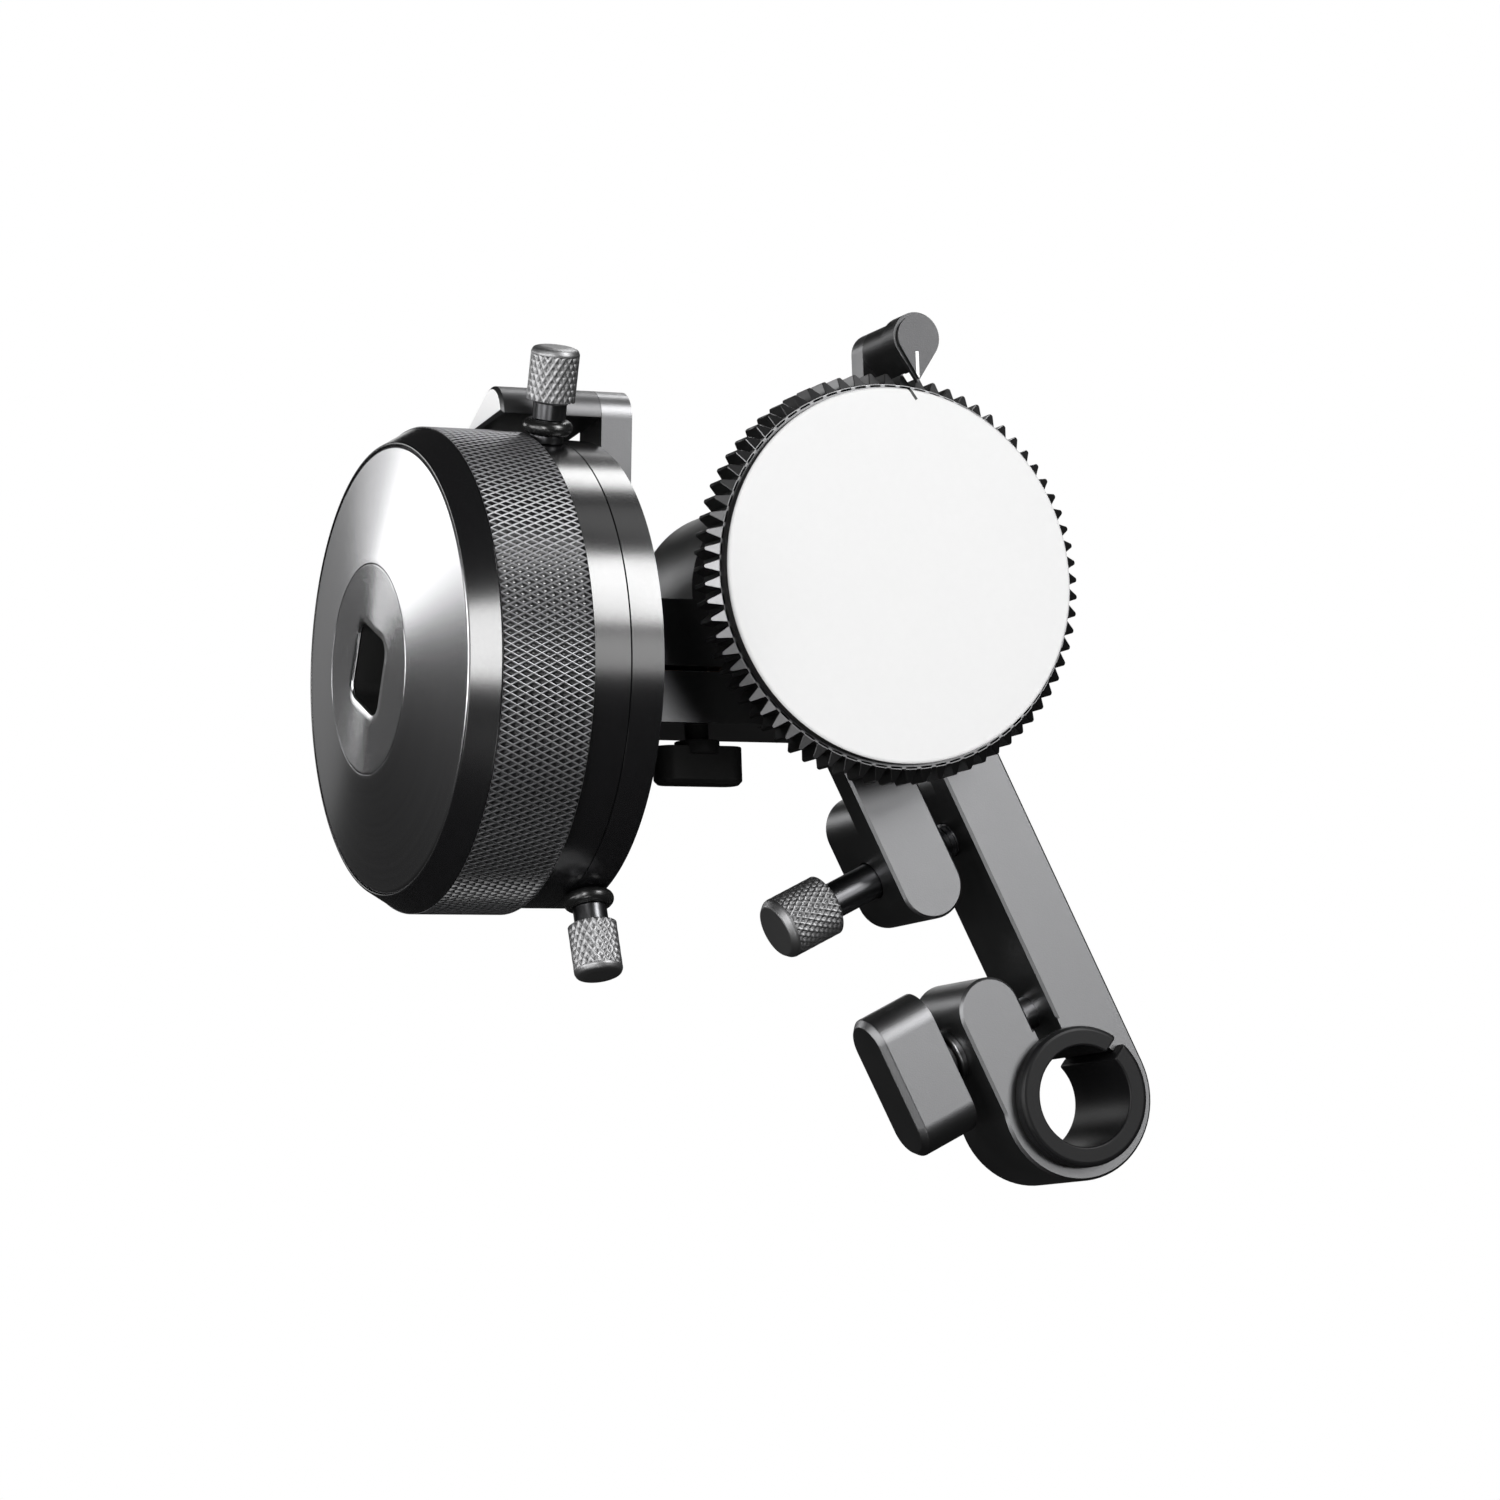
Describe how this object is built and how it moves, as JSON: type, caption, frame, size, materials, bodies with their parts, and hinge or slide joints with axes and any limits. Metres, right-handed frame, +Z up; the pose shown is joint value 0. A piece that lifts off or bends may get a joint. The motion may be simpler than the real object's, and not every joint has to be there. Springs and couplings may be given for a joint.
{
  "type": "follow focus unit",
  "caption": "Geared hand-wheel unit that turns a camera lens ring: rod clamp arm, swinging gearbox, knurled wheel with adjustable stops, toothed drive gear and marking disc.",
  "frame": {"origin": "centre of the rod bore, half way through the clamp arm's depth", "axes": "+Y along the rod and the drive gear's axis, away from the operator; +X along the hand wheel's axis, from the wheel to the gearbox; +Z up"},
  "size_m": [0.1188, 0.07, 0.1261],
  "materials": {
    "satin": "bead-blasted and dark grey anodised, satin",
    "black": "black anodised, semi-gloss",
    "gear_black": "black anodised",
    "turned": "clear anodised, fine turned rings",
    "bright": "clear anodised, polished",
    "gunmetal": "gunmetal plated, knurled",
    "steel": "bright steel",
    "white": "white, matt, for pencil marks",
    "bronze": "machined bronze",
    "rubber": "smooth black rubber"
  },
  "bodies": {
    "arm": {"clamp_arm": "satin", "rod_bushing": "black", "clamp_washer": "gunmetal"},
    "clamp_knob": {"clamp_wing_knob": "satin", "clamp_stud": "steel"},
    "tilt_lock": {"tilt_lock_screw": "gunmetal"},
    "gearbox": {"gearbox_body": "satin", "gearbox_cover": "satin", "cover_screw_1": "steel", "cover_screw_2": "steel", "cover_screw_3": "steel", "cover_screw_4": "steel", "cover_screw_5": "steel", "wheel_bush": "bronze", "front_bearing": "steel", "rear_bearing": "steel", "layshaft_bush": "bronze", "pointer_plate": "satin", "pointer_head": "satin", "plate_screw_1": "steel", "plate_screw_2": "steel", "plate_screw_3": "steel", "index_plate": "satin", "index_bar": "satin", "index_screw_1": "steel", "index_screw_2": "steel", "index_screw_3": "steel"},
    "layshaft": {"layshaft": "steel", "layshaft_bevel": "bronze", "layshaft_pinion": "bronze"},
    "output": {"output_shaft": "steel", "output_spur": "bronze", "drive_gear": "gear_black", "gear_screw": "steel", "magnet_1": "steel", "magnet_2": "steel", "magnet_3": "steel", "marking_disc": "white"},
    "drag": {"drag_screw": "black"},
    "wheel": {"wheel_shaft": "steel", "wheel_bevel": "bronze", "wheel_drum": "black", "drum_plate": "black", "thrust_washer": "bronze", "knurled_grip": "black", "face_plate": "turned", "hub_cap": "bright"},
    "ring_a": {"stop_ring_a": "black"},
    "stop_a": {"stop_screw_a": "gunmetal", "stop_bumper_a": "rubber"},
    "ring_b": {"stop_ring_b": "black"},
    "stop_b": {"stop_screw_b": "gunmetal", "stop_bumper_b": "rubber"}
  },
  "joints": [
    {"name": "clamp_knob_turn", "type": "hinge", "parent": "arm", "child": "clamp_knob", "pos_m": [-0.00585, 0, 0.01217], "axis": [-0.9011, 0, -0.4337], "continuous": true},
    {"name": "tilt_lock_turn", "type": "hinge", "parent": "arm", "child": "tilt_lock", "pos_m": [-0.01826, 0, 0.03794], "axis": [-0.9011, 0, -0.4337], "continuous": true},
    {"name": "gearbox_swing", "type": "hinge", "parent": "arm", "child": "gearbox", "pos_m": [-0.03376, 0, 0.07476], "axis": [0, 1, 0], "range_deg": [-20, 20]},
    {"name": "wheel_turn", "type": "hinge", "parent": "gearbox", "child": "wheel", "pos_m": [-0.09, 0.0028, 0.06266], "axis": [1, 0, 0], "range_deg": [0, 180]},
    {"name": "layshaft_turn", "type": "hinge", "parent": "gearbox", "child": "layshaft", "pos_m": [-0.0457, 0.0028, 0.06266], "axis": [0, 1, 0], "range_deg": [0, 180]},
    {"name": "drive_gear_turn", "type": "hinge", "parent": "gearbox", "child": "output", "pos_m": [-0.03376, -0.019, 0.07476], "axis": [0, 1, 0], "range_deg": [-99, 0]},
    {"name": "drag_screw_turn", "type": "hinge", "parent": "gearbox", "child": "drag", "pos_m": [-0.05826, -0.0038, 0.052], "axis": [0, 0, -1], "range_deg": [-180, 180]},
    {"name": "stop_ring_a_turn", "type": "hinge", "parent": "wheel", "child": "ring_a", "pos_m": [-0.08276, 0.0028, 0.06266], "axis": [1, 0, 0], "range_deg": [0, 60]},
    {"name": "stop_screw_a_turn", "type": "hinge", "parent": "ring_a", "child": "stop_a", "pos_m": [-0.08276, -0.01114, 0.10015], "axis": [0, -0.3486, 0.9373], "range_deg": [0, 180]},
    {"name": "stop_ring_b_turn", "type": "hinge", "parent": "wheel", "child": "ring_b", "pos_m": [-0.07736, 0.0028, 0.06266], "axis": [1, 0, 0], "range_deg": [-60, 0]},
    {"name": "stop_screw_b_turn", "type": "hinge", "parent": "ring_b", "child": "stop_b", "pos_m": [-0.07736, -0.00822, 0.02421], "axis": [0, -0.2756, -0.9613], "range_deg": [0, 180]}
  ],
  "couplings": [
    {"joint": "layshaft_turn", "follows": "wheel_turn", "ratio": 1},
    {"joint": "drive_gear_turn", "follows": "wheel_turn", "ratio": -0.54546}
  ]
}
